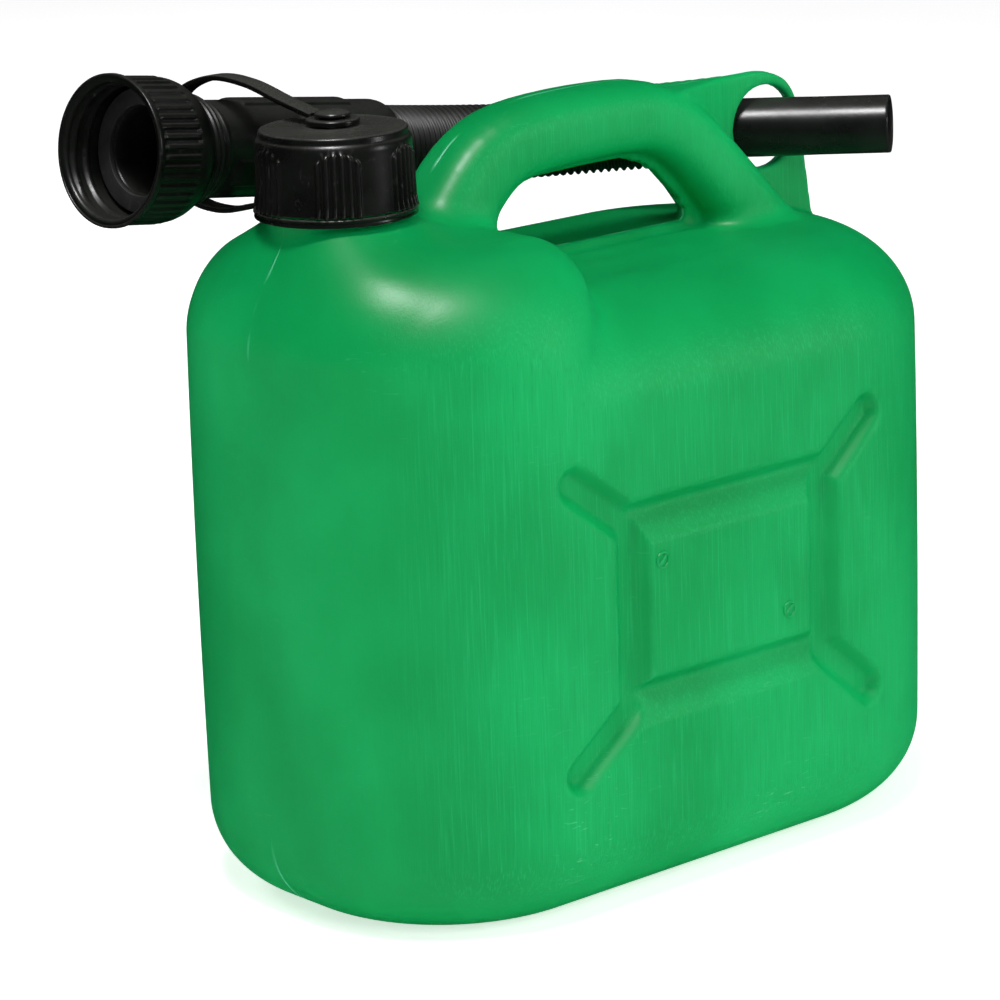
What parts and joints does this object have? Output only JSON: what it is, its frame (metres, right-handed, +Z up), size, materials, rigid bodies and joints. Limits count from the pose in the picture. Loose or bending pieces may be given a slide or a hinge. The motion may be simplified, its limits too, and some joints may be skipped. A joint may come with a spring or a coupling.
{
  "type": "fuel can",
  "caption": "Five-litre blow-moulded plastic fuel can with a pierced rear tab, hollow arched handle, tethered screw cap and a flexible corrugated spout stowed along one side",
  "frame": {"origin": "centre of the flat base, on the surface the can stands on", "axes": "+Z up; -X towards the filler neck; +X towards the pierced tab; -Y the broad side away from the stowed spout"},
  "size_m": [0.2715, 0.1531, 0.2633],
  "materials": {
    "can_plastic": "satin",
    "cap_plastic": "satin",
    "spout_plastic": "satin",
    "hose_plastic": "satin",
    "seal_rubber": "matt"
  },
  "bodies": {
    "can": {"can_body": "can_plastic", "tether_ring": "cap_plastic", "tether_strap": "cap_plastic"},
    "eyelet": {"tether_eyelet": "cap_plastic"},
    "cap": {"cap": "cap_plastic", "cap_seal": "seal_rubber"},
    "spout": {"spout_tube": "spout_plastic", "spout_seal": "seal_rubber", "spout_hose": "hose_plastic"},
    "nut": {"spout_nut": "spout_plastic"},
    "nozzle": {"spout_nozzle": "spout_plastic"}
  },
  "joints": [
    {"name": "cap_lift", "type": "slide", "parent": "can", "child": "eyelet", "axis": [0, 0, 1], "range_m": [0, 0.0225], "deforming": ["tether_strap"]},
    {"name": "cap_turn", "type": "hinge", "parent": "eyelet", "child": "cap", "pos_m": [-0.0918, 0, 0.2228], "axis": [0, 0, 1], "range_deg": [0, 1620]},
    {"name": "spout_pull", "type": "slide", "parent": "can", "child": "spout", "axis": [-0.9864, -0.0932, 0.1357], "range_m": [0, 0.05], "deforming": ["spout_hose"]},
    {"name": "nut_spin", "type": "hinge", "parent": "spout", "child": "nut", "pos_m": [-0.1386, 0.0516, 0.2398], "axis": [0.9864, 0.0932, -0.1357], "continuous": true},
    {"name": "nozzle_draw", "type": "slide", "parent": "spout", "child": "nozzle", "axis": [0.3825, 0.9084, -0.1687], "range_m": [0, 0.04899]}
  ],
  "couplings": [
    {"joint": "cap_lift", "follows": "cap_turn", "m_per_rad": 0.00079577},
    {"joint": "nozzle_draw", "follows": "spout_pull", "ratio": 0.96975}
  ]
}
